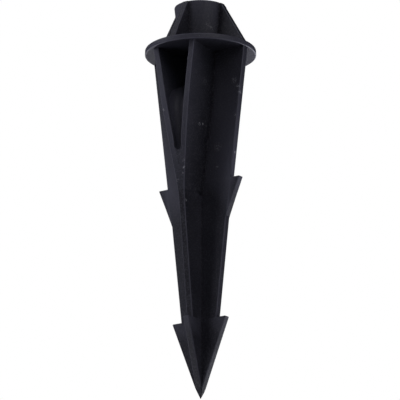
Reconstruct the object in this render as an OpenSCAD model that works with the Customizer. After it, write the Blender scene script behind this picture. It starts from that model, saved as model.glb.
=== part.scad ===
// Ground spike for a post: a tapered socket on a round flange, four gussets
// above the flange, and four tapering fins below it that end in a barbed point.
// The front fin opens into a cable channel under the flange.
// +Z is up, along the post, and the channel faces -Y. The origin is on the
// axis, at the flange's underside, which is also where a post comes to rest.
// The real spike is one moulding. Each module is one natural region of it, and
// neighbouring regions meet face to face.

/* [Socket] */
// Outside diameter of the collar at its rim
collar_rim_d = 30.8; // [29.8:0.1:34]
// Outside diameter of the collar at the flange's underside
collar_root_d = 24.1; // [23.6:0.1:26]
// Height of the rim above the flange's underside
rim_z = 29.6; // [27:0.1:40]
// Diameter of the bore that takes the post
bore_d = 20.4; // [17:0.1:20.6]
// Length of the straight bore, which grips the post
seat_l = 20; // [12:0.5:22]
// Diameter of the flared mouth at the rim
mouth_d = 25.4; // [21:0.1:26]

/* [Flange and gussets] */
// Diameter of the flange
flange_d = 65; // [62:0.5:80]
// Thickness of the flange
flange_t = 3.3; // [2.5:0.1:5]
// Thickness of a gusset
gusset_t = 3.6; // [2.5:0.1:4.5]
// How far the side and back gussets reach from the axis
gusset_r = 31.4; // [25:0.1:32.4]
// How far the front gusset reaches from the axis
front_gusset_r = 29.2; // [25:0.1:32.4]

/* [Fins] */
// Thickness of every fin
fin_t = 4; // [3:0.1:4.6]
// Depth of the barbs' ledges below the flange
ledge_z = 78; // [70:0.5:85]
// Depth at which the barbs run out into the fins
barb_end_z = 100.3; // [92:0.1:112]
// Depth of the ledges of the arrow point
point_z = 159.5; // [140:0.5:175]
// Depth of the tip
tip_z = 205.5; // [190:0.5:230]
// Radius of the side and back fins at the flange
fin_top_r = 32.1; // [26:0.1:32.4]
// Radius of the side and back fins at their barbs' ledges
fin_ledge_r = 22.2; // [18:0.1:24]
// Radius of the side and back fins where the barbs run out
fin_mid_r = 19; // [15:0.1:20]
// Radius of the side and back fins at the arrow point
fin_low_r = 12.2; // [8:0.1:14]
// Radius of the front fin at the flange
front_top_r = 27.2; // [22:0.1:30]
// Radius of the front fin where the channel's walls meet
front_mid_r = 19.6; // [14:0.1:21]
// Radius of the front fin at the arrow point
front_low_r = 10.9; // [7:0.1:13]
// Reach of the barbs from the axis
barb_r = 28.4; // [24:0.1:31]
// Reach of the arrow point's side and back blades
point_r = 18.6; // [14.5:0.1:22]
// Reach of the arrow point's front blade
front_point_r = 15; // [13.5:0.1:19]

/* [Cable channel] */
// Depth at which the two walls meet in the front fin
walls_meet_z = 86; // [80:0.5:92]
// Thickness of a wall at its outer edge
wall_t = 3.5; // [2.5:0.1:4.5]
// Half the width over both walls at the flange
walls_half_w = 14.5; // [13:0.1:15.5]
// Depth at which the core behind the channel starts to taper faster
core_turn_z = 30; // [24:0.5:40]
// Diameter of the core at that depth
core_turn_d = 20.4; // [18:0.1:22]
// Depth of the sill where the channel's opening ends
sill_z = 62.6; // [58:0.1:66]
// Depth at which the floor starts on the back wall
floor_back_z = 8; // [5:0.5:12]
// Depth at which the floor turns down into the gutter
floor_turn_z = 27; // [24:0.5:32]
// Distance from the axis to the turn of the floor
floor_turn_r = 18; // [15:0.5:19]

/* [Hidden] */
$fn = 96;
plastic = [0.13, 0.13, 0.14];
plastic_dark = [0.10, 0.10, 0.11];

flange_r = flange_d / 2;
collar_rim_r = collar_rim_d / 2;
core_top_r = collar_root_d / 2;
core_turn_r = core_turn_d / 2;
half_t = fin_t / 2;
// The round core ends just outside the corners of the square spine below it
core_end_r = half_t * sqrt(2) + 0.2;
core_wall = 2.1;
// The bore narrows a little at the flange, and the post rests on that step
channel_top_r = core_top_r - core_wall;
channel_turn_r = core_turn_r - core_wall;
function core_r(d) = lookup(d, [[0, core_top_r], [core_turn_z, core_turn_r], [walls_meet_z, core_end_r]]);
function core_half_w(d) = sqrt(pow(core_r(d), 2) - pow(half_t, 2));

// The front fin's edge bulges a little between the flange and the sill
bulge_z = 34;
bulge_r = front_top_r - 1.3;
low_bulge_z = 58;
low_bulge_r = front_mid_r + 3.9;
function front_r(d) = lookup(d, [
    [0, front_top_r], [bulge_z, bulge_r], [low_bulge_z, low_bulge_r], [walls_meet_z, front_mid_r]]);

// Half the width over both walls at a depth d, at their outer edges
wall_lean = (walls_half_w - half_t) / walls_meet_z;
function walls_out(d) = walls_half_w - wall_lean * d;
// The inner faces lean with the outer ones and open a little towards the front
inner_half_w = walls_half_w - wall_t;
inner_root_w = sqrt(pow(channel_top_r, 2) - pow(half_t, 2));
inner_draft = atan((inner_half_w - inner_root_w) / (front_top_r - half_t));

floor_back_r = channel_top_r - (channel_top_r - channel_turn_r) * floor_back_z / core_turn_z;
floor_slope = atan((floor_turn_z - floor_back_z) / (floor_turn_r + floor_back_r));
gutter_low_r = 2.4;
gutter_top_r = 6.2;

// A closed solid through stacked four-cornered sections
module loft(sections) {
    last = 4 * (len(sections) - 1);
    sides = [for (s = [0 : 4 : last - 4], k = [0 : 3])
        let (a = s + k, b = s + (k + 1) % 4)
        each [[b, a, a + 4], [b, a + 4, b + 4]]];
    ends = [[0, 1, 2, 3], [last + 3, last + 2, last + 1, last]];
    polyhedron(points = [for (s = sections) each s], faces = concat(ends, sides));
}

// One level of the wedge: half widths at the root and at the front edge
function level(d) = [
    [-core_half_w(d), -half_t, -d], [core_half_w(d), -half_t, -d],
    [walls_out(d), -front_r(d), -d], [-walls_out(d), -front_r(d), -d]];

// Everything in front of the core down to where the walls meet
module front_wedge() {
    loft([level(0), level(bulge_z), level(low_bulge_z), level(walls_meet_z)]);
}

// All that lies on the axis' side of one inner wall face
module inside_wall(side) {
    mirror([side > 0 ? 0 : 1, 0, 0])
        translate([inner_root_w, -half_t, 0])
            rotate([0, 0, -inner_draft])
                rotate([0, atan(wall_lean), 0])
                    translate([-flange_d, -flange_d, -tip_z])
                        cube([flange_d, 2 * flange_d, 2 * tip_z]);
}

module between_walls() {
    intersection() {
        inside_wall(1);
        inside_wall(-1);
    }
}

// All the space above the channel's sloping floor
module above_floor() {
    translate([0, floor_back_r, -floor_back_z])
        rotate([floor_slope, 0, 0])
            translate([-flange_r, -2 * flange_r, 0])
                cube([flange_d, 2 * flange_r + 20, flange_r]);
}

// What the half-round gutter removes. Its back stands upright, its axis leans
// with the walls, all in front of the axis is open, and its lower end is round.
module gutter_cut() {
    low = [0, -(floor_turn_r + gutter_low_r), gutter_low_r - sill_z];
    top = [0, -(floor_turn_r + gutter_top_r), -floor_turn_z];
    lean = atan((low[1] - top[1]) / (top[2] - low[2]));
    run = (top[2] - low[2]) / cos(lean);
    grow = (gutter_top_r - gutter_low_r) / run;
    translate(low) {
        rotate([lean, 0, 0]) {
            cylinder(h = run + 12, r1 = gutter_low_r, r2 = gutter_low_r + grow * (run + 12));
            translate([-flange_r, -flange_r, 0])
                cube([flange_d, flange_r, run + 12]);
        }
        sphere(r = gutter_low_r);
        rotate([90, 0, 0])
            cylinder(h = flange_r, r = gutter_low_r);
    }
}

// The round core under the flange, with no channel in it
module core() {
    translate([0, 0, -core_turn_z])
        cylinder(h = core_turn_z, r1 = core_turn_r, r2 = core_top_r);
    translate([0, 0, -walls_meet_z])
        cylinder(h = walls_meet_z - core_turn_z, r1 = core_end_r, r2 = core_turn_r);
}

// Keeps what lies behind the front faces of the side fins
module behind_front_face() {
    translate([-flange_r, -half_t, -tip_z])
        cube([flange_d, flange_r, tip_z + rim_z]);
}

module spine_column() {
    translate([-half_t, -half_t, -point_z])
        cube([fin_t, fin_t, point_z - walls_meet_z]);
}

// A plate of thickness t that stands on the axis and reaches along +X
module plate(outline, t) {
    rotate([90, 0, 0])
        linear_extrude(t, center = true)
            polygon(outline);
}

// The four-sided point that all of the arrow's blades are cut to
module point_envelope() {
    intersection() {
        plate([[-point_r, -point_z], [point_r, -point_z], [0, -tip_z]], 2 * flange_d);
        rotate([0, 0, 90])
            plate([[-front_point_r, -point_z], [point_r, -point_z], [0, -tip_z]], 2 * flange_d);
    }
}

module collar() {
    color(plastic)
        rotate_extrude()
            polygon([
                [bore_d / 2, 0], [core_top_r, 0], [collar_rim_r, rim_z],
                [mouth_d / 2, rim_z], [bore_d / 2, seat_l]]);
}

// The collar's outer cone, run on past both of its ends
module collar_cone() {
    grow = (collar_rim_r - core_top_r) / rim_z;
    translate([0, 0, -5])
        cylinder(h = rim_z + 10, r1 = core_top_r - 5 * grow, r2 = collar_rim_r + 5 * grow);
}

module flange() {
    color(plastic)
        difference() {
            cylinder(h = flange_t, r = flange_r);
            collar_cone();
        }
}

module gusset(reach, turn) {
    color(plastic)
        difference() {
            rotate([0, 0, turn])
                plate([[5, flange_t], [reach, flange_t], [collar_rim_r + 0.3, rim_z], [5, rim_z]],
                    gusset_t);
            collar_cone();
        }
}

module gusset_front() { gusset(front_gusset_r, -90); }
module gusset_right() { gusset(gusset_r, 0); }
module gusset_back() { gusset(gusset_r, 90); }
module gusset_left() { gusset(gusset_r, 180); }

// A wall is one half of the wedge without the space between the walls
module channel_wall_right() {
    color(plastic)
        intersection() {
            difference() {
                front_wedge();
                between_walls();
            }
            translate([0, -flange_r, -tip_z])
                cube([flange_r, flange_r, tip_z]);
        }
}

module channel_wall_left() {
    mirror([1, 0, 0])
        channel_wall_right();
}

// The half-round shell that carries on from the collar behind the channel
module channel_back() {
    color(plastic_dark)
        intersection() {
            difference() {
                core();
                translate([0, 0, -core_turn_z])
                    cylinder(h = core_turn_z, r1 = channel_turn_r, r2 = channel_top_r);
            }
            behind_front_face();
            above_floor();
        }
}

// The floor that leads a cable from the socket out through the gutter
module cable_ramp() {
    color(plastic_dark)
        difference() {
            intersection() {
                front_wedge();
                between_walls();
            }
            above_floor();
            gutter_cut();
        }
}

// The solid core below the channel, then the square spine between the fins
module spine() {
    color(plastic)
        union() {
            difference() {
                intersection() {
                    core();
                    behind_front_face();
                }
                above_floor();
            }
            spine_column();
        }
}

module fin(turn) {
    color(plastic)
        difference() {
            rotate([0, 0, turn])
                plate([
                    [0, 0], [fin_top_r, 0], [fin_ledge_r, -ledge_z],
                    [fin_mid_r, -barb_end_z], [fin_low_r, -point_z], [0, -point_z]], fin_t);
            core();
            spine_column();
        }
}

module fin_right() { fin(0); }
module fin_back() { fin(90); }
module fin_left() { fin(180); }

// The single fin that the channel's walls run down into
module fin_front() {
    color(plastic)
        rotate([0, 0, -90])
            plate([
                [half_t, -walls_meet_z], [front_mid_r, -walls_meet_z],
                [front_low_r, -point_z], [half_t, -point_z]], fin_t);
}

// A barb: a ledge that faces up, on a tooth that runs out downwards
module barb(turn) {
    color(plastic)
        rotate([0, 0, turn])
            plate([[fin_ledge_r, -ledge_z], [barb_r, -ledge_z], [fin_mid_r, -barb_end_z]], fin_t);
}

module barb_right() { barb(0); }
module barb_back() { barb(90); }
module barb_left() { barb(180); }

module point_core() {
    color(plastic)
        intersection() {
            translate([-half_t, -half_t, -tip_z])
                cube([fin_t, fin_t, tip_z - point_z]);
            point_envelope();
        }
}

module point_blade(reach, turn) {
    color(plastic)
        intersection() {
            rotate([0, 0, turn])
                plate([[half_t, -point_z], [reach, -point_z], [half_t, -tip_z]], fin_t);
            point_envelope();
        }
}

module point_front() { point_blade(front_point_r, -90); }
module point_right() { point_blade(point_r, 0); }
module point_back() { point_blade(point_r, 90); }
module point_left() { point_blade(point_r, 180); }

collar();
flange();
gusset_front();
gusset_right();
gusset_back();
gusset_left();
channel_wall_left();
channel_wall_right();
channel_back();
cable_ramp();
spine();
fin_front();
fin_right();
fin_back();
fin_left();
barb_right();
barb_back();
barb_left();
point_core();
point_front();
point_right();
point_back();
point_left();
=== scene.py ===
# %% [markdown]
# # A ground spike for a post
# The real thing is one black plastic moulding: a tapered socket on a round flange, four gussets
# over the flange, and four long fins under it that run down to a barbed point. The front fin
# opens into a channel that lets a cable out. Here every natural region of the moulding is a
# piece of its own, so each can be looked at, changed and reused.
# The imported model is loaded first. It is the fixed frame that every piece is built to.

# %% Load the frame
import math
import struct
import bmesh
import bpy
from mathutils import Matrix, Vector


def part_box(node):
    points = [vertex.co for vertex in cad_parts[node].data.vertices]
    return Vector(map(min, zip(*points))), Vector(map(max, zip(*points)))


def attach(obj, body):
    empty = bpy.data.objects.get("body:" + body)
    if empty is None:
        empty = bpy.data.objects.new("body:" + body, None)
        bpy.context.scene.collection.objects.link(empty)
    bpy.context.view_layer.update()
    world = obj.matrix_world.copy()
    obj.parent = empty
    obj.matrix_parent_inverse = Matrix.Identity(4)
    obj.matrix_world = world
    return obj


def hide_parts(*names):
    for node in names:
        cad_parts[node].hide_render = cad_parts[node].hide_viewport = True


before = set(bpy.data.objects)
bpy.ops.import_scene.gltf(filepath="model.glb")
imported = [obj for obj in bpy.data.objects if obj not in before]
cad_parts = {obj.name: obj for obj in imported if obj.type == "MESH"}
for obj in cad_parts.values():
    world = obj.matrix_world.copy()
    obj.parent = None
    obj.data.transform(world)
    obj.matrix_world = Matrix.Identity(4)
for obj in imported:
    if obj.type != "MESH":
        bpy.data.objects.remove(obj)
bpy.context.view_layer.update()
MM = 0.001
_, flange_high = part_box("flange")
_, collar_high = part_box("collar")
fin_low, fin_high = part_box("fin_right")
barb_low, barb_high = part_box("barb_right")
front_low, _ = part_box("point_front")
_, blade_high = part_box("point_right")
FLANGE_R = flange_high.x / MM
FLANGE_T = flange_high.z / MM
RIM_Z = collar_high.z / MM
RIM_R = collar_high.x / MM
LEDGE_Z = -barb_high.z / MM
BARB_R = barb_high.x / MM
BARB_END_Z = -barb_low.z / MM
POINT_Z = -fin_low.z / MM
POINT_R = blade_high.x / MM
FRONT_POINT_R = -front_low.y / MM
FIN_TOP_R = fin_high.x / MM
TIP_Z = -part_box("point_core")[0].z / MM
MEET_Z = -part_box("channel_wall_right")[0].z / MM
print("flange", round(FLANGE_R, 2), "rim", round(RIM_Z, 2), "tip", round(TIP_Z, 2),
      "walls meet", round(MEET_Z, 2))

# %% [markdown]
# Two kinds of number describe the moulding: its outline at each depth, and the small radii
# that the mould leaves. The outline is read off short lists of depth and size, with straight
# lines between them. Depths are counted downwards from the flange's underside, and every
# number is in millimetres until a piece is laid down.

# %% The outline at each depth
def between(depth, table):
    for (d0, v0), (d1, v1) in zip(table, table[1:]):
        if depth <= d1:
            return v0 + (v1 - v0) * (depth - d0) / (d1 - d0)
    return table[-1][1]


HALF_T = 2.0  # half the thickness of a fin
COLLAR_FOOT_R, BORE_R, FRONT_TOP_R = 12.05, 10.2, 27.2
core_profile = [(-5, 12.6), (0, COLLAR_FOOT_R), (30, 10.2), (MEET_Z, 2.84)]
side_profile = [(0, FIN_TOP_R), (LEDGE_Z, 22.2), (BARB_END_Z, 19.0), (POINT_Z, 12.2)]
front_profile = [(0, FRONT_TOP_R), (34, 25.9), (58, 23.5), (MEET_Z, 19.6), (POINT_Z, 10.9)]
wall_profile = [(0, 14.5), (77, 3.31), (82, 2.68), (MEET_Z, 2.32), (91, 2.1), (99, HALF_T)]
INNER_EDGE_W, INNER_ROOT_W, WALL_LEAN = 11.0, 9.7, 12.5 / MEET_Z
U_Z, U_R = 60.2, 2.45  # where the sill's half circle starts, and its radius
EDGE_R, WALL_EDGE_R, ROOT_R = 0.6, 0.55, 0.12  # edges of fins, edges of walls, roots


def core_width(depth):
    return math.sqrt(max(between(depth, core_profile) ** 2 - HALF_T ** 2, 0.9))


def inner_width(depth, out):
    draft = (INNER_EDGE_W - INNER_ROOT_W) / (FRONT_TOP_R - HALF_T)
    return max(INNER_ROOT_W - WALL_LEAN * depth + draft * (out - HALF_T), 0.0)


def opening_width(depth, out):
    """Half the clear width between the walls; it ends in a half circle at the sill."""
    clear = inner_width(depth, out)
    if depth <= U_Z:
        return max(clear, U_R)
    if depth < U_Z + U_R:
        return max(clear, math.sqrt(U_R ** 2 - (depth - U_Z) ** 2))
    return clear


print("core half width at 0, 30, 60:", [round(core_width(d), 2) for d in (0, 30, 60)])

# %% [markdown]
# Corners are never sharp on a moulding. A corner point is swapped for a short curve that
# leaves and joins the two straight sides smoothly. The same kind of curve serves for the
# roots between two faces, which on this moulding are almost sharp.

# %% Rounded corners
CORNER_STEPS = 4


def rounded(before, corner, after, radius):
    def towards(a, b):
        length = math.dist(a, b)
        share = min(radius / length, 0.5) if length > 0 else 0
        return (a[0] + (b[0] - a[0]) * share, a[1] + (b[1] - a[1]) * share)
    start, end = towards(corner, before), towards(corner, after)
    points = []
    for i in range(CORNER_STEPS + 1):
        t = i / CORNER_STEPS
        a, b, c = (1 - t) ** 2, 2 * t * (1 - t), t * t
        points.append((a * start[0] + b * corner[0] + c * end[0],
                       a * start[1] + b * corner[1] + c * end[1]))
    return points


def hollow(first, corner, last, steps=5):
    """The root between two faces: a curve that starts along one and ends along the other."""
    line = []
    for i in range(steps + 1):
        t = i / steps
        line.append(tuple((1 - t) ** 2 * p + 2 * t * (1 - t) * q + t * t * r
                          for p, q, r in zip(first, corner, last)))
    return line


def turned(x, y, angle):
    return (x * math.cos(angle) - y * math.sin(angle), x * math.sin(angle) + y * math.cos(angle))


def outline(corners):
    """A closed outline from (x, y, radius) corners; radius 0 keeps the corner sharp."""
    points, n = [], len(corners)
    for i, (x, y, radius) in enumerate(corners):
        before, after = corners[i - 1][:2], corners[(i + 1) % n][:2]
        points += rounded(before, (x, y), after, radius) if radius else [(x, y)]
    return points


print("a rounded square has", len(outline([(0, 0, 1), (4, 0, 1), (4, 4, 1), (0, 4, 1)])), "points")

# %% [markdown]
# Most regions are long bodies whose section changes slowly with depth. They are made by hand
# as a maker would: one flat section is laid down, and it is then extruded level by level, each
# level being pulled to its own outline. The operators keep the sides as clean strips of quads,
# which is what the smooth shading over the small radii needs. Each finished piece is also
# painted with a value of wear and painted light: painted shade at the roots, paler further out,
# and a painted highlight on the edges. The value is stored on its points, and the plastic reads it.

# %% Extrude a section level by level
pieces = {}
SMOOTH_ANGLE = math.radians(32)
EDGE_BEND = math.radians(14)  # a bend over this counts as an edge
CAP = 0.9  # a face whose normal is this upright is a level cap
# How pale a place is painted, from 0 to 1: some wear, and painted light, shade and highlight.
FACE_WEAR_AND_LIGHT, EDGE_WEAR_AND_HIGHLIGHT, COLLAR_BAY_LIGHT, GUTTER_LIGHT, RIM_WEAR_AND_HIGHLIGHT, CORE_SHADE = 0.25, 0.65, 0.62, 0.62, 0.55, 0.09
# Painted light on the walls' faces; the front fin and the point painted darker as painted shade.
WALL_LIGHT, FRONT_FIN_SHADE, POINT_SHADE = 0.14, 0.16, 0.7
# Painted light on the walls, by depth: faces fading out downwards, then the left and right front strips.
WALL_LIGHT_FADE = [(0, 1), (45, 1), (84, 0)]
LEFT_STRIP_LIGHT, RIGHT_STRIP_LIGHT = [(0, 0.30), (50, 0.26), (80, 0)], [(0, 0.10), (80, 0)]


def start_clean():
    if bpy.context.object and bpy.context.object.mode != "OBJECT":
        bpy.ops.object.mode_set(mode="OBJECT")
    bpy.ops.object.select_all(action="DESELECT")


def place_ring(obj, ring, old=None):
    mesh = bmesh.from_edit_mesh(obj.data)
    mesh.verts.ensure_lookup_table()
    if old is None:
        for vert, point in zip(mesh.verts, ring):
            vert.co = point
    else:
        seat = {tuple(round(c, 7) for c in p): i for i, p in enumerate(old)}
        for vert in [v for v in mesh.verts if v.select]:
            vert.co = ring[seat[tuple(round(c, 7) for c in vert.co)]]
    bmesh.update_edit_mesh(obj.data)


def stack(name, levels, turn=0.0, mirror=False):
    """levels: [(z in mm, outline in mm)], all outlines with the same number of points."""
    c, s = math.cos(turn), math.sin(turn)
    flip = -1 if mirror else 1
    rings = [[(MM * flip * (c * x - s * y), MM * (s * x + c * y), MM * z) for x, y in line]
             for z, line in levels]
    start_clean()
    bpy.ops.mesh.primitive_circle_add(vertices=len(rings[0]), radius=0.01, fill_type="NGON")
    obj = bpy.context.object
    obj.name = name
    obj.data.name = name
    bpy.ops.object.mode_set(mode="EDIT")
    place_ring(obj, rings[0])
    for old, ring in zip(rings, rings[1:]):
        bpy.ops.mesh.extrude_region_move()
        place_ring(obj, ring, [tuple(bpy_float(v) for v in p) for p in old])
    bpy.ops.mesh.select_all(action="SELECT")
    bpy.ops.mesh.normals_make_consistent(inside=False)
    bpy.ops.object.mode_set(mode="OBJECT")
    finish_piece(obj)
    return obj


def bpy_float(value):
    """The value as a mesh stores it, so that the points of a ring can be found again."""
    return struct.unpack("f", struct.pack("f", value))[0]


def outer_reach(x, y, z):
    """How far out the moulding reaches at a height, in the direction of a point."""
    if z > FLANGE_T:
        return FLANGE_R - 1 + (RIM_R - FLANGE_R + 1) * (z - FLANGE_T) / (RIM_Z - FLANGE_T)
    if z > -0.01:
        return FLANGE_R
    if -z > POINT_Z:
        return (FRONT_POINT_R if -y > abs(x) else POINT_R) * (TIP_Z + z) / (TIP_Z - POINT_Z) + 0.5
    if -y > abs(x):
        return between(-z, front_profile)
    return between(-z, side_profile)


def paint_wear_and_light(obj):
    """Paints a value of wear and painted light: low at the roots as painted shade, higher outwards as
    painted light, highest on edges as a painted highlight.
    """
    mesh = bmesh.new()
    mesh.from_mesh(obj.data)
    values, round_piece = [], obj.name in ("moulded_collar", "moulded_flange")
    for vert in mesh.verts:
        x, y, z = (c / MM for c in vert.co)
        out = math.hypot(x, y)
        reach, root = outer_reach(x, y, z), between(-z, core_profile) if z < 0 else COLLAR_FOOT_R
        # The share is 0 at the roots and 1 at the outer reach, so the roots are painted dark as shade.
        share = min(max((out - root) / max(reach - root, 0.5), 0), 1)
        # The point is painted darker: painted shade.
        share *= POINT_SHADE if -z > POINT_Z else 1
        sides = [e for e in vert.link_edges
                 if round_piece or all(abs(f.normal.z) < CAP for f in e.link_faces)]
        bend = max([e.calc_face_angle_signed(0) for e in sides], default=0)
        # Edges outside the channel get a painted highlight, partly real wear.
        in_channel = -z > U_Z + U_R and y < 0 and abs(x) < between(-z, wall_profile) - 0.8
        edge_wear_and_highlight = EDGE_WEAR_AND_HIGHLIGHT if bend > EDGE_BEND and not in_channel else 0.0
        value = FACE_WEAR_AND_LIGHT * share ** 1.7 + edge_wear_and_highlight * (0.3 + 0.7 * share)
        # The front fin is painted darker: painted shade.
        if obj.name == "moulded_fin_front":
            value = max(value - FRONT_FIN_SHADE * share, 0)
        # The walls' faces are painted paler near the top and the front strips paler, the left more:
        # painted light.
        if "wall" in obj.name:
            value += WALL_LIGHT * share * between(-z, WALL_LIGHT_FADE)
            if -y > between(-z, front_profile) - 0.3:
                value += between(-z, LEFT_STRIP_LIGHT if x < 0 else RIGHT_STRIP_LIGHT)
        # The collar between the gussets is painted pale as light, and darker next to the gussets' roots
        # as painted shade.
        if obj.name == "moulded_collar" and z > FLANGE_T and out > 11.9:
            bay = min(max((min(abs(x), abs(y)) - 1.6) / 3.0, 0), 1)
            value = max(COLLAR_BAY_LIGHT * bay, edge_wear_and_highlight)
        # The flange's rim is painted pale: a painted highlight, partly wear.
        if obj.name == "moulded_flange" and share > 0.97:
            value = max(value, RIM_WEAR_AND_HIGHLIGHT)
        # The outer face of the core gets one low value: painted shade between the fins.
        if obj.name in ("moulded_spine", "moulded_channel_back"):
            if out > between(-z, core_profile) - 0.3:
                value = CORE_SHADE
        # The gutter is painted pale: painted light.
        if obj.name == "moulded_ramp" and out < between(-z, front_profile) - 0.3:
            value = GUTTER_LIGHT
        values.append(value)
    mesh.free()
    if "wear_and_painted_light" in obj.data.attributes:
        obj.data.attributes.remove(obj.data.attributes["wear_and_painted_light"])
    obj.data.attributes.new("wear_and_painted_light", "FLOAT", "POINT").data.foreach_set("value", values)


def finish_piece(obj):
    start_clean()
    obj.select_set(True)
    bpy.context.view_layer.objects.active = obj
    bpy.ops.object.transform_apply(location=True, rotation=True, scale=True)
    bpy.ops.mesh.customdata_custom_splitnormals_clear()
    bpy.ops.object.shade_smooth_by_angle(angle=SMOOTH_ANGLE)
    bpy.ops.object.modifier_add(type="WEIGHTED_NORMAL")
    obj.modifiers[-1].keep_sharp = True
    obj.modifiers[-1].weight = 100
    bpy.ops.object.modifier_apply(modifier=obj.modifiers[-1].name)
    paint_wear_and_light(obj)
    pieces[obj.name] = obj


print("ready to extrude sections")

# %% [markdown]
# ## The fins
# Each fin is a plate with a rounded outer edge. The plate narrows in straight runs, faster above
# the barb than below it. Where the barb grows out of the edge, the edge stays square, so that
# plate and barb read as one body.

# %% Three plain fins
def fin_outline(depth, reach, edge):
    root = max(core_width(depth) - 0.6, 1.2)
    return outline([(root, -HALF_T, 0), (reach, -HALF_T, edge),
                    (reach, HALF_T, edge), (root, HALF_T, 0)])


SQUARE_R = 0.02  # next to the barb the edge is as good as square
fin_levels = []
for depth, edge in ((0, EDGE_R), (LEDGE_Z - 0.05, EDGE_R), (LEDGE_Z, SQUARE_R),
                    (BARB_END_Z, SQUARE_R), (BARB_END_Z + 1.0, EDGE_R),
                    (MEET_Z + 30, EDGE_R), (POINT_Z, EDGE_R)):
    fin_levels.append((-depth, fin_outline(depth, between(depth, side_profile), edge)))
stack("moulded_fin_right", fin_levels)
stack("moulded_fin_back", fin_levels, turn=math.pi / 2)
stack("moulded_fin_left", fin_levels, turn=math.pi)
print("fins:", [len(pieces[n].data.polygons) for n in pieces])

# %% [markdown]
# ## The barbs
# A barb is a small tooth with a ledge that faces up. It stops the spike from lifting out of the
# soil. Its ledge is flat with a rounded rim, and its lower end runs out on the fin's edge.

# %% Three barbs on the fins
BARB_END_R, BARB_TIP_R = 19.05, 23  # its reach at the lower end; points past the second are its tip


def barb_outline(depth, reach, edge):
    start = between(depth, side_profile) - 0.02
    return outline([(start, -HALF_T, 0), (reach, -HALF_T, edge),
                    (reach, HALF_T, edge), (start, HALF_T, 0)])


def barb_section(down, edge):
    depth = LEDGE_Z + down
    reach = BARB_R + (BARB_END_R - BARB_R) * (depth - LEDGE_Z) / (BARB_END_Z - LEDGE_Z)
    return (-depth, barb_outline(depth, reach, edge))


def barb_rim(down, shrink, narrow):
    """A ring close under the ledge, drawn in to round the ledge's rim."""
    line = barb_outline(LEDGE_Z, BARB_R, EDGE_R)
    return (-(LEDGE_Z + down), [(x if x < BARB_TIP_R else x - shrink, y * narrow) for x, y in line])


barb_levels = [barb_rim(0.02, 0.35, 0.9), barb_rim(0.12, 0.12, 0.97),
               barb_section(0.4, EDGE_R), barb_section(11, EDGE_R),
               barb_section(BARB_END_Z - 1 - LEDGE_Z, 0.3),
               (-BARB_END_Z, barb_outline(BARB_END_Z, 19.03, 0.01))]
stack("moulded_barb_right", barb_levels)
stack("moulded_barb_back", barb_levels, turn=math.pi / 2)
stack("moulded_barb_left", barb_levels, turn=math.pi)
print("barbs made:", [n for n in pieces if "barb" in n])

# %% [markdown]
# ## The front fin and the walls of the cable channel
# Under the flange the front fin is split into two walls that lean together like a V and meet
# low down. Below that place it is a single fin, narrower than the others and without a barb.

# %% The single front fin
front_levels = []
for depth in (MEET_Z, 91, 99, MEET_Z + 30, POINT_Z):
    reach, half = between(depth, front_profile), between(depth, wall_profile)
    front_levels.append((-depth, outline([(1.2, -half, 0), (reach, -half, EDGE_R),
                                          (reach, half, EDGE_R), (1.2, half, 0)])))
stack("moulded_fin_front", front_levels, turn=-math.pi / 2)

# %% [markdown]
# Each wall starts at the side fin and ends in a strip that faces the front. The clear width
# between the two closes in a half circle, so the rings stand close together there. The left
# wall is the right one mirrored.

# %% Two leaning walls
WALL_BACK = 1.4  # how far in front of the axis the walls start


def wall_outline(depth):
    edge_w, edge_out = between(depth, wall_profile), between(depth, front_profile)
    root_w = max(core_width(depth), between(depth, [(70, 2), (MEET_Z, 2.32)]))
    run = math.dist((root_w, HALF_T), (edge_w, edge_out))
    along = (root_w + (edge_w - root_w) * ROOT_R / run, HALF_T + (edge_out - HALF_T) * ROOT_R / run)
    root = hollow((root_w + ROOT_R, HALF_T), (root_w, HALF_T), along)
    inner_round = between(depth, [(0, WALL_EDGE_R), (U_Z, WALL_EDGE_R),
                                  (U_Z + U_R, 0.03), (MEET_Z, 0.03)])
    tail = outline([(*along, 0), (edge_w, edge_out, WALL_EDGE_R),
                    (opening_width(depth, edge_out), edge_out, inner_round),
                    (opening_width(depth, WALL_BACK), WALL_BACK, 0)])[1:]
    return [(x, -y) for x, y in root + tail + [(root_w + ROOT_R, WALL_BACK)]]


wall_depths = (0, 6, 12, 18, 24, 30, 36, 42, 48, 54, 57, U_Z, 61, 61.6, 62, 62.3, 62.5, 62.65,
               66, 70, 74.5, 77, 79.5, 82, 84, MEET_Z)
wall_levels = [(-d, wall_outline(d)) for d in wall_depths]
stack("moulded_wall_right", wall_levels)
stack("moulded_wall_left", wall_levels, mirror=True)
print("walls:", len(pieces["moulded_wall_right"].data.polygons), "faces each")

# %% [markdown]
# ## The ramp between the walls
# The ramp fills the V between the walls. Its floor starts behind the axis, slopes forward, and
# rolls over into a half-round gutter that ends in a U-shaped sill. The floor's line is drawn
# first, and the body is extruded down along it with the gutter already in every section.

# %% Ramp and gutter
FLOOR_BACK_Z, FLOOR_TURN_Z, FLOOR_TURN_R = 8.0, 27.0, 18.0
FLOOR_BACK_R = 9.46
FLOOR_PACE = (FLOOR_TURN_R + FLOOR_BACK_R) / (FLOOR_TURN_Z - FLOOR_BACK_Z)
RAMP_TOP_Z, BEND_START_Z, BEND_END_Z, BEND_STEPS = 15.8, 18.5, 40, 14
GUTTER_GROWS, ARC_STEPS, RAMP_BACK = 12, 18, 1.5


def slope(depth):
    return FLOOR_TURN_R - FLOOR_PACE * (FLOOR_TURN_Z - depth)


floor_line = [(RAMP_TOP_Z, slope(RAMP_TOP_Z))]
floor_line += hollow((BEND_START_Z, slope(BEND_START_Z)), (FLOOR_TURN_Z, FLOOR_TURN_R),
                     (BEND_END_Z, FLOOR_TURN_R), BEND_STEPS)
floor_line += [(48, FLOOR_TURN_R), (55, FLOOR_TURN_R), (U_Z, FLOOR_TURN_R)]


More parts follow.
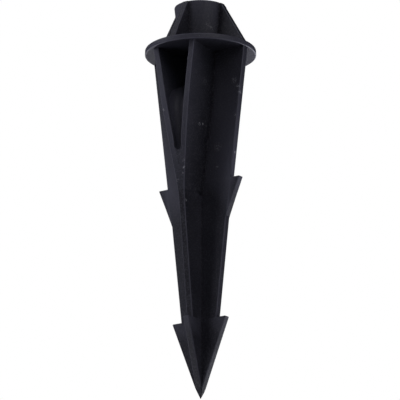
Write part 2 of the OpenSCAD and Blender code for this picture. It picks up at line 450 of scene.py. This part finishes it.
def ramp_outline(depth, deep):
    front = between(depth, front_profile) - 0.01
    turn = min(max((depth - RAMP_TOP_Z) / GUTTER_GROWS, 0.03), 1)
    if depth <= U_Z:
        half = opening_width(depth, deep + 3)
        reach = min(half * turn * turn * (3 - 2 * turn), front - deep - 0.02)
        lip = deep + reach + 0.01
    else:
        half = U_R * math.sqrt(max(1 - ((depth - U_Z) / U_R) ** 2, 0.0001))
        reach, lip = min(half, front - deep - 0.005), front
    arc = []
    for i in range(ARC_STEPS + 1):
        a = math.pi * i / ARC_STEPS
        arc.append((half * math.cos(a), deep + reach * (1 - math.sin(a))))
    side = max(opening_width(depth, lip), half + 0.004)
    back = max(opening_width(depth, RAMP_BACK), 0.02)
    body = [(-side, lip), (-back, RAMP_BACK), (back, RAMP_BACK), (side, lip)]
    return [(x, -y) for x, y in body + arc]


ramp_levels = [(-d, ramp_outline(d, y)) for d, y in floor_line]
for step in (0.35, 0.6, 0.8, 0.92, 0.98, 0.999):
    d = U_Z + U_R * step
    ramp_levels.append((-d, ramp_outline(d, FLOOR_TURN_R + U_R * (1 - math.sqrt(1 - step * step)))))
ramp_levels += [(-d, ramp_outline(d, between(d, front_profile) - 0.02))
                for d in (U_Z + U_R + 0.05, 68, 74)]
ramp = stack("moulded_ramp", ramp_levels)


def cut_above_floor(obj, keep_above=False):
    """Cuts a piece with the sloping floor plane and caps the cut."""
    start_clean()
    obj.select_set(True)
    bpy.context.view_layer.objects.active = obj
    bpy.ops.object.mode_set(mode="EDIT")
    bpy.ops.mesh.select_all(action="SELECT")
    rise, run = FLOOR_TURN_Z - FLOOR_BACK_Z, FLOOR_TURN_R + FLOOR_BACK_R
    length = math.hypot(rise, run)
    bpy.ops.mesh.bisect(
        plane_co=(0, FLOOR_BACK_R * MM, -FLOOR_BACK_Z * MM),
        plane_no=(0, -rise / length, run / length),
        use_fill=True, clear_outer=not keep_above, clear_inner=keep_above)
    bpy.ops.mesh.select_all(action="SELECT")
    bpy.ops.mesh.normals_make_consistent(inside=False)
    bpy.ops.object.mode_set(mode="OBJECT")
    finish_piece(obj)


print("ramp:", len(ramp.data.polygons), "faces")

# %% [markdown]
# ## The core
# Behind the channel the moulding is a round core that thins downwards between the fins. The
# part over the sloping floor is the shell around the socket's pocket. Spine and shell share
# their sections, and the plane of the floor parts them.

# %% Spine and shell
CORE_FRONT, CORE_STEPS = 1.5, 10


def core_outline(depth):
    r = between(depth, core_profile)
    w = core_width(depth)
    points = [(-w - ROOT_R, -CORE_FRONT), (w + ROOT_R, -CORE_FRONT)]
    tilt = math.asin(min(HALF_T / r, 0.98))
    swing = min(ROOT_R / r, (math.pi / 2 - 2 * tilt) * 0.45)
    for base in (0.0, math.pi / 2):
        on_a = (r * math.cos(tilt + swing), r * math.sin(tilt + swing))
        root = hollow((w + ROOT_R, HALF_T), (w, HALF_T), on_a)
        points += [turned(x, y, base) for x, y in root]
        for i in range(1, CORE_STEPS):
            a = tilt + swing + (math.pi / 2 - 2 * (tilt + swing)) * i / CORE_STEPS
            points.append(turned(r * math.cos(a), r * math.sin(a), base))
        points += [turned(y, x, base) for x, y in reversed(root)]
    return points


core_levels = [(-d, core_outline(d)) for d in (0, 8, 16, 24, 30, 40, 50, 60, 70, 78, MEET_Z)]
spine = stack("moulded_spine", core_levels)
shell = stack("moulded_channel_back", core_levels[:5])
cut_above_floor(spine)
cut_above_floor(shell, keep_above=True)
print("core:", len(spine.data.polygons), "shell:", len(shell.data.polygons))

# %% [markdown]
# ## The point
# The four fins end in an arrow point. Its blades are as thick as the fins, start with a ledge,
# and are all cut to one four-sided pyramid, so they thin to nothing together at the tip. A
# square core with the same roots fills the middle, from the end of the channel to the tip.

# %% Four blades and their core
def blade_outline(depth, reach, side_low, side_high):
    share = (TIP_Z - depth) / (TIP_Z - POINT_Z)
    low, high = min(HALF_T, side_low * share), min(HALF_T, side_high * share)
    out = max(reach * share, 0.05)
    root = min(1.2, out * 0.4)
    edge = min(EDGE_R, out * 0.25, low * 0.6)
    return outline([(root, -low, 0), (out, -low, edge), (out, high, edge), (root, high, 0)])


# Depth under the ledge, and how far that ring is drawn in to round the ledge's rim.
blade_rings = [(0.0, 0.35), (0.12, 0.12), (0.4, 0.0)]
blade_rings += [(depth, 0.0) for depth in (12, 24, 36, 40.0, 42, 44, 45.4, 45.9)]


def blade(name, reach, turn, side_low, side_high):
    levels = []
    for depth, shrink in blade_rings:
        line = blade_outline(POINT_Z + depth, reach, side_low, side_high)
        if shrink:
            line = [(x if x < 2 else x - shrink, y * (1 - 0.25 * shrink)) for x, y in line]
        levels.append((-(POINT_Z + depth), line))
    stack(name, levels, turn=turn)


blade("moulded_point_right", POINT_R, 0, FRONT_POINT_R, POINT_R)
blade("moulded_point_back", POINT_R, math.pi / 2, POINT_R, POINT_R)
blade("moulded_point_left", POINT_R, math.pi, POINT_R, FRONT_POINT_R)
blade("moulded_point_front", FRONT_POINT_R, -math.pi / 2, POINT_R, POINT_R)


def star(depth):
    """The square where four fins cross; it shrinks only inside the point."""
    share = (TIP_Z - depth) / (TIP_Z - POINT_Z) if depth > POINT_Z else 9
    h = min(HALF_T, 15 * share)
    s = min(ROOT_R, 1.2 * share)
    corners = []
    for i in range(4):
        root = hollow((h + s, h), (h, h), (h, h + s))
        corners += [turned(x, y, i * math.pi / 2) for x, y in root]
    return corners


stack("moulded_spine_low", [(-d, star(d)) for d in (66, MEET_Z, 110, 135, POINT_Z + 0.1)])
stack("moulded_point_core", [(-d, star(d)) for d in (POINT_Z, 180, 195, 200, 203, 205, 205.45)])
print("point:", [n for n in pieces if "point" in n])

# %% [markdown]
# ## The collar and the flange
# Both are round, so each is one closed profile that is spun about the axis. The profile carries
# the small radii: the rounded rim of the flange, the soft root of the collar, and the flared
# mouth that guides a post into the socket.

# %% Spin the collar and the flange
TURN_STEPS = 144


def spin_profile(name, corners):
    profile = outline(corners)
    start_clean()
    bpy.ops.mesh.primitive_circle_add(vertices=len(profile), radius=0.01, fill_type="NOTHING")
    obj = bpy.context.object
    obj.name = name
    obj.data.name = name
    bpy.ops.object.mode_set(mode="EDIT")
    place_ring(obj, [(x * MM, 0, z * MM) for x, z in profile])
    bpy.ops.mesh.select_all(action="SELECT")
    bpy.ops.mesh.spin(steps=TURN_STEPS, angle=math.tau, center=(0, 0, 0), axis=(0, 0, 1))
    bpy.ops.mesh.select_all(action="SELECT")
    bpy.ops.mesh.remove_doubles(threshold=0.000001)
    bpy.ops.mesh.normals_make_consistent(inside=False)
    bpy.ops.object.mode_set(mode="OBJECT")
    finish_piece(obj)


MOUTH_R, BORE_TOP_Z = 12.7, 20  # the flare's radius at the rim, and the height where it starts
grow = (RIM_R - COLLAR_FOOT_R) / RIM_Z  # how fast the collar widens upwards
spin_profile("moulded_collar", [
    (BORE_R, -0.02, 0), (COLLAR_FOOT_R, -0.02, 0), (RIM_R, RIM_Z, 0.5),
    (MOUTH_R, RIM_Z, 0.5), (BORE_R, BORE_TOP_Z, 1.2)])
spin_profile("moulded_flange", [
    (11.9, 0, 0), (FLANGE_R, 0, 0.7), (FLANGE_R, FLANGE_T, 0.7),
    (COLLAR_FOOT_R + grow * FLANGE_T + 0.02, FLANGE_T, 1.3),
    (COLLAR_FOOT_R + grow * (FLANGE_T + 3), FLANGE_T + 3, 0)])
print("collar and flange:", [len(pieces["moulded_" + n].data.polygons) for n in ("collar", "flange")])

# %% [markdown]
# ## The gussets
# Four triangular ribs brace the collar. They stand over the fins and lean in with a straight
# edge. The one over the channel reaches a little less far than the others.

# %% Four gussets
GUSSET_R, FRONT_GUSSET_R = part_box("gusset_right")[1].x / MM, -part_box("gusset_front")[0].y / MM
GUSSET_HALF_T, GUSSET_ROOT_R, GUSSET_STEPS = 1.8, 0.3, 5
gusset_heights = (FLANGE_T - 0.1, 8, 13, 18, 23, 26.5, 28.6, RIM_Z - 0.15)


def gusset_outline(z, reach):
    r = COLLAR_FOOT_R + grow * z
    share = (z - FLANGE_T) / (RIM_Z - FLANGE_T)
    out = reach + (RIM_R + 0.3 - reach) * share
    soft = min(GUSSET_ROOT_R, max((out - r) * 0.45, 0.1))
    h = GUSSET_HALF_T
    root = math.sqrt(r * r - (h + soft) ** 2) - 0.15
    face = math.sqrt(r * r - h * h)
    edge = min(0.55, (out - face) * 0.35)
    points = [(root - 1, -(h + soft))]
    for i in range(GUSSET_STEPS + 1):
        t = i / GUSSET_STEPS
        points.append(((1 - t) ** 2 * root + 2 * t * (1 - t) * face + t * t * (face + soft),
                       -((1 - t) ** 2 * (h + soft) + 2 * t * (1 - t) * h + t * t * h)))
    tail = outline([(face + soft, -h, 0), (out, -h, edge),
                    (out, h, edge), (face + soft, h, 0)])[1:-1]
    return points + tail + [(x, -y) for x, y in reversed(points)]


for name, reach, turn in (("front", FRONT_GUSSET_R, -math.pi / 2), ("right", GUSSET_R, 0),
                          ("back", GUSSET_R, math.pi / 2), ("left", GUSSET_R, math.pi)):
    stack("moulded_gusset_" + name, [(z, gusset_outline(z, reach)) for z in gusset_heights], turn=turn)
print("pieces so far:", len(pieces))

# %% [markdown]
# ## The plastic
# The whole spike is one black plastic, coloured through. It is not quite black: it has a cool
# cast, a fine matt grain from the mould's skin, faint cloudy flow marks, paler scuffs from wear,
# and a little dust. Where the painted value of wear and light is high, the plastic is paler: this
# is painted shade at the roots, painted light further out and a painted highlight on edges. A short
# list gives the places where it has been knocked: x, y and z of each, its reach in millimetres
# and its strength. All of it is one node group, so every piece carries the same plastic.

# %% Grain, flow marks and scuffs as one group
NICKS = [
    (7.8, -12.2, -46.2, 1.3, 1.0), (7.9, -9.3, -45.5, 1.1, 1.0), (7.9, -5.8, -45.7, 1.0, 0.5),
    (10.8, -11.0, -20.9, 2.6, 0.15), (11.1, -8.2, 15.4, 1.8, 0.35), (12.0, -6.5, 13.8, 1.4, 0.3),
    (26.0, -8.5, 0.0, 1.0, 0.5), (25.0, -2.0, -20.0, 2.4, 0.25), (27.8, -2.0, -24.2, 1.8, 0.4),
    (28.6, -1.1, -27.7, 1.6, 0.5), (25.6, -2.0, -41.4, 1.0, 0.5), (24.1, 0.1, -62.9, 1.6, 0.6),
    (13.7, -2.0, -58.5, 3.2, 0.2), (12.9, -2.0, -70.5, 1.3, 0.3), (3.2, -21.9, -69.6, 1.1, 0.7),
    (3.0, -21.3, -73.6, 1.1, 0.7), (2.0, -20.9, -76.9, 0.9, 0.5), (-2.2, -20.4, -80.2, 1.3, 0.5),
    (-8.2, -25.5, -38.3, 1.2, 0.6), (2.1, -17.5, -92.2, 1.2, 0.5)]
DUST = (0.52, 0.52, 0.57, 1)
# Noise scales are per metre: the higher the scale, the finer the mark.
GRAIN, CHIPS, MOTTLE, CLOUDS, PATCHES, SCRATCHES = 1500, 1100, 1000, 70, 55, (900, 900, 260)


def moulded_surface_group():
    group = bpy.data.node_groups.new("moulded_surface", "ShaderNodeTree")
    face = group.interface
    for label, kind in (("Position", "NodeSocketVector"), ("Painted_light_value", "NodeSocketFloat"),
                        ("Base", "NodeSocketColor"), ("Lit_colour", "NodeSocketColor"),
                        ("Scuffed", "NodeSocketColor"), ("Scuffs", "NodeSocketFloat"),
                        ("Cloud", "NodeSocketFloat"), ("Sheen", "NodeSocketFloat")):
        face.new_socket(name=label, in_out="INPUT", socket_type=kind)
    for label, kind in (("Color", "NodeSocketColor"), ("Roughness", "NodeSocketFloat"),
                        ("Height", "NodeSocketFloat")):
        face.new_socket(name=label, in_out="OUTPUT", socket_type=kind)
    nodes, links = group.nodes, group.links
    gin, gout = nodes.new("NodeGroupInput"), nodes.new("NodeGroupOutput")

    def noise(scale, detail):
        n = nodes.new("ShaderNodeTexNoise")
        n.inputs["Scale"].default_value = scale
        n.inputs["Detail"].default_value = detail
        n.inputs["Roughness"].default_value = 0.55
        links.new(gin.outputs["Position"], n.inputs["Vector"])
        return n.outputs["Fac"]

    def ramp(value, low, high):
        n = nodes.new("ShaderNodeMapRange")
        n.inputs["From Min"].default_value = low
        n.inputs["From Max"].default_value = high
        links.new(value, n.inputs["Value"])
        return n.outputs["Result"]

    def maths(operation, a, b):
        n = nodes.new("ShaderNodeMath")
        n.operation = operation
        for socket, value in zip(n.inputs, (a, b)):
            if isinstance(value, (int, float)):
                socket.default_value = value
            else:
                links.new(value, socket)
        return n.outputs["Value"]

    def mix(factor, a, b):
        n = nodes.new("ShaderNodeMix")
        n.data_type = "RGBA"
        links.new(factor, n.inputs["Factor"])
        links.new(a, n.inputs["A"])
        links.new(b, n.inputs["B"])
        return n.outputs["Result"]

    grain = noise(GRAIN, 3)
    cloud = noise(CLOUDS, 4)
    patches = ramp(noise(PATCHES, 3), 0.60, 0.72)
    stretched = nodes.new("ShaderNodeMapping")
    stretched.inputs["Scale"].default_value = SCRATCHES
    stretched.inputs["Rotation"].default_value = (0.35, 0.5, 0.2)
    links.new(gin.outputs["Position"], stretched.inputs["Vector"])
    scratch = nodes.new("ShaderNodeTexNoise")
    scratch.inputs["Scale"].default_value = 1.0
    scratch.inputs["Detail"].default_value = 2
    links.new(stretched.outputs["Vector"], scratch.inputs["Vector"])
    lines = maths("MULTIPLY", ramp(scratch.outputs["Fac"], 0.60, 0.72), patches)
    scuff = maths("MULTIPLY", lines, gin.outputs["Scuffs"])
    specks = maths("MULTIPLY", ramp(noise(GRAIN, 1), 0.70, 0.84), ramp(cloud, 0.45, 0.65))
    dust = maths("MULTIPLY", specks, gin.outputs["Scuffs"])
    chips = ramp(noise(CHIPS, 2), 0.47, 0.60)
    for x, y, z, reach, strength in NICKS:
        far = nodes.new("ShaderNodeVectorMath")
        far.operation = "DISTANCE"
        links.new(gin.outputs["Position"], far.inputs[0])
        far.inputs[1].default_value = (x * MM, y * MM, z * MM)
        near = ramp(far.outputs["Value"], reach * MM, reach * MM * 0.3)
        dust = maths("MAXIMUM", dust, maths("MULTIPLY", maths("MULTIPLY", near, chips), strength))
    fine = maths("MULTIPLY", ramp(noise(MOTTLE, 2), 0.48, 0.66), 3.2)
    mottle = maths("ADD", ramp(cloud, 0.35, 0.7), fine)
    cloudy = maths("MULTIPLY", mottle, gin.outputs["Cloud"])
    wear = maths("MINIMUM", maths("ADD", scuff, cloudy), 1.0)
    # Painted light and shade: the painted value mixes the shaded black towards the lit pale colour.
    plain = mix(gin.outputs["Painted_light_value"], gin.outputs["Base"], gin.outputs["Lit_colour"])
    clean = mix(wear, plain, gin.outputs["Scuffed"])
    pale = nodes.new("ShaderNodeRGB")
    pale.outputs[0].default_value = DUST
    links.new(mix(dust, clean, pale.outputs[0]), gout.inputs["Color"])
    rough = maths("ADD", gin.outputs["Sheen"], maths("MULTIPLY", maths("SUBTRACT", cloud, 0.5), 0.16))
    links.new(maths("ADD", rough, maths("MULTIPLY", scuff, 0.2)), gout.inputs["Roughness"])
    links.new(maths("ADD", grain, maths("MULTIPLY", scuff, 1.5)), gout.inputs["Height"])
    return group


surface = moulded_surface_group()
print("group sockets:", [i.name for i in surface.interface.items_tree])

# %% [markdown]
# Two materials share the group and its three colours. The collar, flange, walls, fins, barbs
# and blades have a few more scuffs and are a touch glossier than the gussets and the core.

# %% The plastic for each region
# The black darkened as painted shade, the pale colour of painted light and highlights, and the colour of
# scuffs.
BLACK_AND_SHADE, POLISH_AND_LIGHT, PALE = (0.0030, 0.0030, 0.0065), (0.1060, 0.1060, 0.1430), (0.1000, 0.1000, 0.1250)
BUMP_STRENGTH, BUMP_DEPTH, SPECULAR_LEVEL = 0.22, 0.0002, 0.35


def moulded_plastic(name, scuffs, cloud, roughness):
    material = bpy.data.materials.new(name)
    material.use_nodes = True
    nodes, links = material.node_tree.nodes, material.node_tree.links
    shader = nodes["Principled BSDF"]
    where = nodes.new("ShaderNodeTexCoord")
    skin = nodes.new("ShaderNodeGroup")
    skin.node_tree = surface
    skin.inputs["Base"].default_value = (*BLACK_AND_SHADE, 1)
    skin.inputs["Lit_colour"].default_value = (*POLISH_AND_LIGHT, 1)
    skin.inputs["Scuffed"].default_value = (*PALE, 1)
    skin.inputs["Scuffs"].default_value = scuffs
    skin.inputs["Cloud"].default_value = cloud
    skin.inputs["Sheen"].default_value = roughness
    wear_and_painted_light = nodes.new("ShaderNodeAttribute")
    wear_and_painted_light.attribute_name = "wear_and_painted_light"
    links.new(wear_and_painted_light.outputs["Fac"], skin.inputs["Painted_light_value"])
    links.new(where.outputs["Object"], skin.inputs["Position"])
    bump = nodes.new("ShaderNodeBump")
    bump.inputs["Strength"].default_value = BUMP_STRENGTH
    bump.inputs["Distance"].default_value = BUMP_DEPTH
    links.new(skin.outputs["Height"], bump.inputs["Height"])
    links.new(bump.outputs["Normal"], shader.inputs["Normal"])
    links.new(skin.outputs["Color"], shader.inputs["Base Color"])
    links.new(skin.outputs["Roughness"], shader.inputs["Roughness"])
    shader.inputs["Specular IOR Level"].default_value = SPECULAR_LEVEL
    return material


black = moulded_plastic("black_plastic", 0.6, 0.10, 0.50)
black_worn = moulded_plastic("black_plastic_worn", 0.7, 0.11, 0.46)
print("materials:", black.name, black_worn.name)

# %% [markdown]
# Every piece now takes its place: it stands for its region of the frame, rides on the frame's
# one body, and takes one of the two plastics.

# %% Hand the pieces over to the frame
stands_for = {
    "moulded_collar": ("collar", black_worn), "moulded_flange": ("flange", black_worn),
    "moulded_gusset_front": ("gusset_front", black), "moulded_gusset_right": ("gusset_right", black),
    "moulded_gusset_back": ("gusset_back", black), "moulded_gusset_left": ("gusset_left", black),
    "moulded_wall_left": ("channel_wall_left", black_worn),
    "moulded_wall_right": ("channel_wall_right", black_worn),
    "moulded_channel_back": ("channel_back", black), "moulded_ramp": ("cable_ramp", black_worn),
    "moulded_spine": ("spine", black), "moulded_spine_low": ("spine", black),
    "moulded_fin_front": ("fin_front", black_worn), "moulded_fin_right": ("fin_right", black_worn),
    "moulded_fin_back": ("fin_back", black_worn), "moulded_fin_left": ("fin_left", black_worn),
    "moulded_barb_right": ("barb_right", black_worn), "moulded_barb_back": ("barb_back", black_worn),
    "moulded_barb_left": ("barb_left", black_worn),
    "moulded_point_core": ("point_core", black), "moulded_point_front": ("point_front", black_worn),
    "moulded_point_right": ("point_right", black_worn), "moulded_point_back": ("point_back", black_worn),
    "moulded_point_left": ("point_left", black_worn)}
for name, (node, material) in stands_for.items():
    piece = pieces[name]
    piece.data.materials.clear()
    piece.data.materials.append(material)
    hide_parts(node)
    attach(piece, "root")
print(len(stands_for), "pieces stand for", len({n for n, _ in stands_for.values()}), "regions")

# %% [markdown]
# ## Floor, light and camera
# The spike is looked up at from below, so the pale floor lies well under it, deeper than the
# lowest lamps. Floor and surroundings look white to the camera, but give the spike very little
# light, so its black stays black. Ten soft square panels around it do the lighting. The
# strongest stand low behind it, and they bring out the edges of the fins.

# %% Floor
FLOOR_SIZE, FLOOR_Z, FLOOR_GLOW = 16, -2.3, 0.75
start_clean()
bpy.ops.mesh.primitive_plane_add(size=FLOOR_SIZE, location=(0, 0, FLOOR_Z))
floor = bpy.context.object
floor.name = "studio_floor"
paper = bpy.data.materials.new("pale_paper")
paper.use_nodes = True
sheet, pl = paper.node_tree.nodes["Principled BSDF"], paper.node_tree.links
sheet.inputs["Base Color"].default_value = (0.82, 0.82, 0.82, 1)
sheet.inputs["Roughness"].default_value = 0.9
sheet.inputs["Emission Color"].default_value = (1, 1, 1, 1)
seen_paper = paper.node_tree.nodes.new("ShaderNodeLightPath")
glow = paper.node_tree.nodes.new("ShaderNodeMath")
glow.operation = "MULTIPLY"
glow.inputs[1].default_value = FLOOR_GLOW
pl.new(seen_paper.outputs["Is Camera Ray"], glow.inputs[0])
pl.new(glow.outputs["Value"], sheet.inputs["Emission Strength"])
floor.data.materials.append(paper)
print("floor at", round(floor.location.z, 2))

# %% [markdown]
# Each panel is given by its direction: the angle round from the front, the angle up, and its
# power. All stand at one distance, have one size and face the middle of the spike. The light
# is a little cool, and less so on the right.

# %% Light
PANEL_DISTANCE, PANEL_SIZE, MIDDLE = 1.4, 0.9, Vector((0, 0, -0.09))
COOL, COOL_RIGHT = (0.91, 0.91, 1.0), (0.95, 0.95, 0.98)
ROOM_GLOW = 0.02  # what the white surroundings give to everything but the camera


def direction(azimuth, elevation):
    return Vector((math.sin(azimuth) * math.cos(elevation),
                   -math.cos(azimuth) * math.cos(elevation), math.sin(elevation)))


def panel(name, azimuth, elevation, power):
    place = direction(math.radians(azimuth), math.radians(elevation)) * PANEL_DISTANCE
    bpy.ops.object.light_add(type="AREA", location=place + MIDDLE)
    light = bpy.context.object
    light.name = name
    light.data.size = PANEL_SIZE
    light.data.energy = power
    light.data.color = COOL_RIGHT if 0 < azimuth < 120 else COOL
    light.rotation_euler = (-place).to_track_quat("-Z", "Y").to_euler()


for name, azimuth, elevation, power in (
        ("front_left_high", -50, 40, 4.9), ("front_left_low", -50, -30, 4.6),
        ("front_right_high", 60, 40, 3.6), ("front", 12, 0, 0.8), ("front_right", 80, 0, 1.05),
        ("right_low", 100, -30, 1.5), ("left", -85, 0, 0.8), ("left_behind_low", -120, -30, 6.4),
        ("behind_low", 180, -30, 14.5), ("right_behind_low", 140, -30, 3.4)):
    panel(name + "_panel", azimuth, elevation, power)
world = bpy.data.worlds.new("pale_room")
bpy.context.scene.world = world
world.use_nodes = True
wn, wl = world.node_tree.nodes, world.node_tree.links
back = wn["Background"]
back.inputs["Color"].default_value = (1, 1, 1, 1)
seen = wn.new("ShaderNodeLightPath")
strength = wn.new("ShaderNodeMapRange")
strength.inputs["To Min"].default_value = ROOM_GLOW
strength.inputs["To Max"].default_value = 1.0
wl.new(seen.outputs["Is Camera Ray"], strength.inputs["Value"])
wl.new(strength.outputs["Result"], back.inputs["Strength"])

# %% [markdown]
# The camera is far off with a long lens, to the right of the channel and below the flange.

# %% Camera
AZIMUTH, ELEVATION = math.radians(35), math.radians(-16.57)
CAMERA_DISTANCE, LENS, SENSOR_WIDTH, CLIP_END = 1.976, 308.2, 36, 20
target = Vector((-0.00027, -0.00019, -0.0876))
view = direction(AZIMUTH, ELEVATION)
bpy.ops.object.camera_add(location=target + view * CAMERA_DISTANCE)
camera = bpy.context.object
camera.name = "camera"
camera.rotation_euler = (-view).to_track_quat("-Z", "Y").to_euler()
camera.data.lens = LENS
camera.data.sensor_width = SENSOR_WIDTH
camera.data.clip_end = CLIP_END
bpy.context.scene.camera = camera
bpy.context.scene.view_settings.view_transform = "Standard"
print("camera at", [round(c, 3) for c in camera.location])
